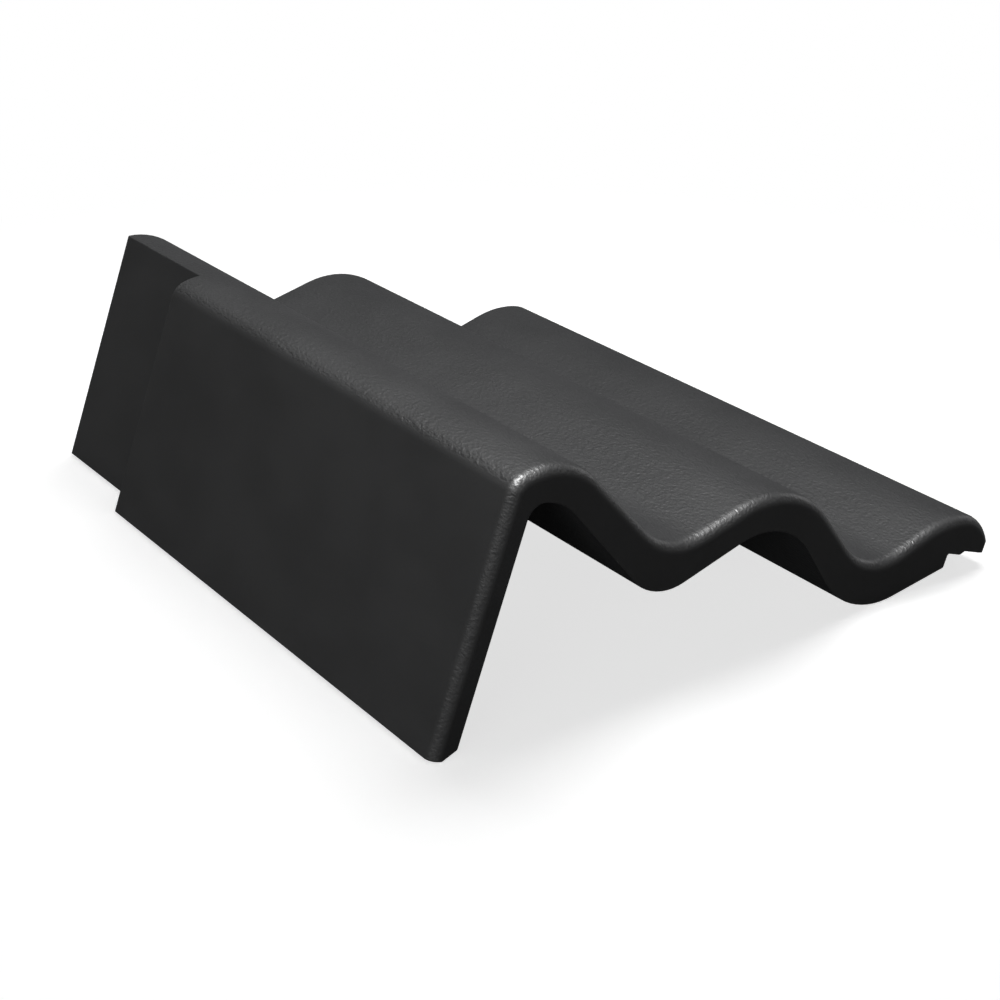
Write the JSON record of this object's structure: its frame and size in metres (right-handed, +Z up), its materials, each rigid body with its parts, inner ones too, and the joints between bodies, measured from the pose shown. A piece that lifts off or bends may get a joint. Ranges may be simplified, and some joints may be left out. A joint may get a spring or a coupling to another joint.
{
  "type": "concrete verge tile",
  "caption": "Left-hand double-roll verge tile of dark concrete: waved slab with a deep verge skirt, a lapped head rebate and a cover lock along the right edge.",
  "frame": {"origin": "centre of the floor under the tile's overall box, as the tile lies at rest", "axes": "+Z up, +Y along the tile from its front (eave) edge to its head, +X to the right, away from the skirt. The tile's own plane leans 19.3 degrees about Y, right side down, because it lies on its skirt's lower edge and on its second pan"},
  "size_m": [0.3762, 0.42, 0.1347],
  "materials": {
    "concrete": "matt"
  },
  "bodies": {
    "root": {"verge_tile": "concrete"}
  },
  "joints": []
}
